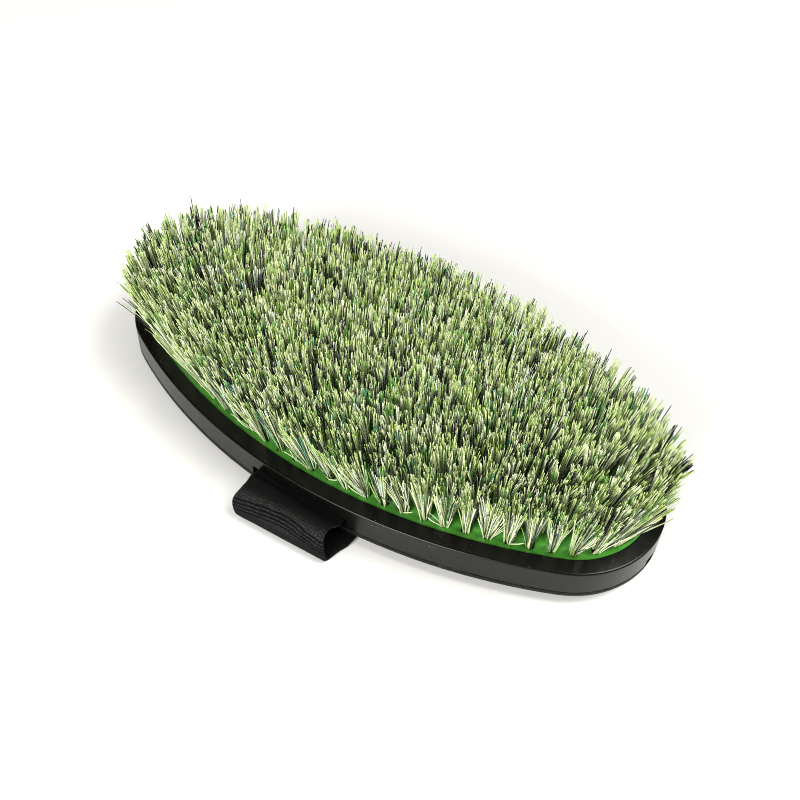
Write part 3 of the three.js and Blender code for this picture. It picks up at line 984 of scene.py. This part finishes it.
def add_light(name, place, size, power):
    """A square lamp that faces the brush. Its place and size are in metres."""
    lamp = bpy.data.lights.new(name, "AREA")
    lamp.shape = "RECTANGLE"
    lamp.size = lamp.size_y = size
    lamp.energy = power
    light = bpy.data.objects.new(name, lamp)
    light.location = place
    light.rotation_euler = (-Vector(place)).to_track_quat("-Z", "Y").to_euler()
    bpy.context.scene.collection.objects.link(light)


SKY = 0.32  # the strength of the soft light from all round
ROOM_SHARE = 0.2  # how bright a room shiny plastic sees, as a share of the sky
ROOM_BELOW = 1.2  # and how bright below the horizon
HORIZON = -0.3  # how far down, as a direction's height, the room goes on getting brighter


def add_world():
    """Shiny plastic sees a dim room, the camera a white one, and everything else is lit softly."""
    world = bpy.data.worlds.new("studio")
    world.use_nodes = True
    tree = world.node_tree

    def pick(factor, low, high, over=(0, 1)):
        node = tree.nodes.new("ShaderNodeMapRange")
        tree.links.new(factor, node.inputs["Value"])
        node.inputs["From Min"].default_value, node.inputs["From Max"].default_value = over
        for socket, value in (("To Min", low), ("To Max", high)):
            if isinstance(value, (int, float)):
                node.inputs[socket].default_value = value
            else:
                tree.links.new(value, node.inputs[socket])
        return node.outputs["Result"]

    background = tree.nodes["Background"]
    background.inputs["Color"].default_value = (1.0, 0.995, 0.985, 1)
    ray = tree.nodes.new("ShaderNodeLightPath")
    heading = tree.nodes.new("ShaderNodeSeparateXYZ")
    tree.links.new(tree.nodes.new("ShaderNodeTexCoord").outputs["Generated"], heading.inputs[0])
    # From below, shiny plastic sees a brighter room, or its shape would be lost.
    room = pick(heading.outputs["Z"], ROOM_BELOW, SKY * ROOM_SHARE, over=(HORIZON, 0))
    unseen = pick(ray.outputs["Is Glossy Ray"], SKY, room)
    strength = pick(ray.outputs["Is Camera Ray"], unseen, 1)
    tree.links.new(strength, background.inputs["Strength"])
    bpy.context.scene.world = world


# The camera goes round a point at the body's lower edge. Angles are in degrees, sizes in mm.
AZIMUTH = 32.2
ELEVATION = 46.4
ROLL = 3.3
DISTANCE = 373.5
LENS = 45
SENSOR = 36
CAMERA_SHIFT = (7.3, 5.9)  # along the picture's sides
CAMERA_BASE = 4.5  # the height of the point that it goes round


def add_camera():
    azimuth, elevation, roll = (math.radians(angle) for angle in (AZIMUTH, ELEVATION, ROLL))
    back = Vector((
        math.sin(azimuth) * math.cos(elevation),
        -math.cos(azimuth) * math.cos(elevation),
        math.sin(elevation),
    ))
    level = Vector((math.cos(azimuth), math.sin(azimuth), 0))
    upright = back.cross(level)
    right = level * math.cos(roll) + upright * math.sin(roll)
    up = upright * math.cos(roll) - level * math.sin(roll)
    place = back * DISTANCE + right * CAMERA_SHIFT[0] + up * CAMERA_SHIFT[1]
    place += Vector((0, 0, CAMERA_BASE))
    data = bpy.data.cameras.new("camera")
    data.sensor_width = SENSOR
    data.lens = LENS
    data.clip_start = 0.01
    camera = bpy.data.objects.new("camera", data)
    turn = Matrix((right, up, back)).transposed()
    camera.matrix_world = Matrix.Translation(place * MM) @ turn.to_4x4()
    bpy.context.scene.collection.objects.link(camera)
    bpy.context.scene.camera = camera


# ---- Assembly ----
cover_black = cover_plastic()
bristle_materials = {
    (name, zone): filament(name, colour, zone)
    for name, (colour, _) in FILAMENTS.items()
    for zone in ZONE_SHADING
}
rows = tuft_rows()
add_rim(rim_plastic())
add_cover(cover_black)
add_hooks(cover_black)
add_plate(rows, green_plastic())
add_bristles(rows, bristle_materials.values())
add_loose_filaments(rows[0], [bristle_materials[key] for key in LOOSE_COLOURS])
add_strap(webbing())
add_bars(drawn_wire())
add_floor()
add_world()
add_light("key", (0.66, 0.26, 1.20), size=0.7, power=13.2)
add_light("fill", (0.0, -1.12, 0.52), size=0.6, power=16.5)
add_camera()

scene = bpy.context.scene
scene.view_settings.view_transform = "Standard"
scene.view_settings.look = "Medium High Contrast"
scene.cycles.filter_width = 1.0
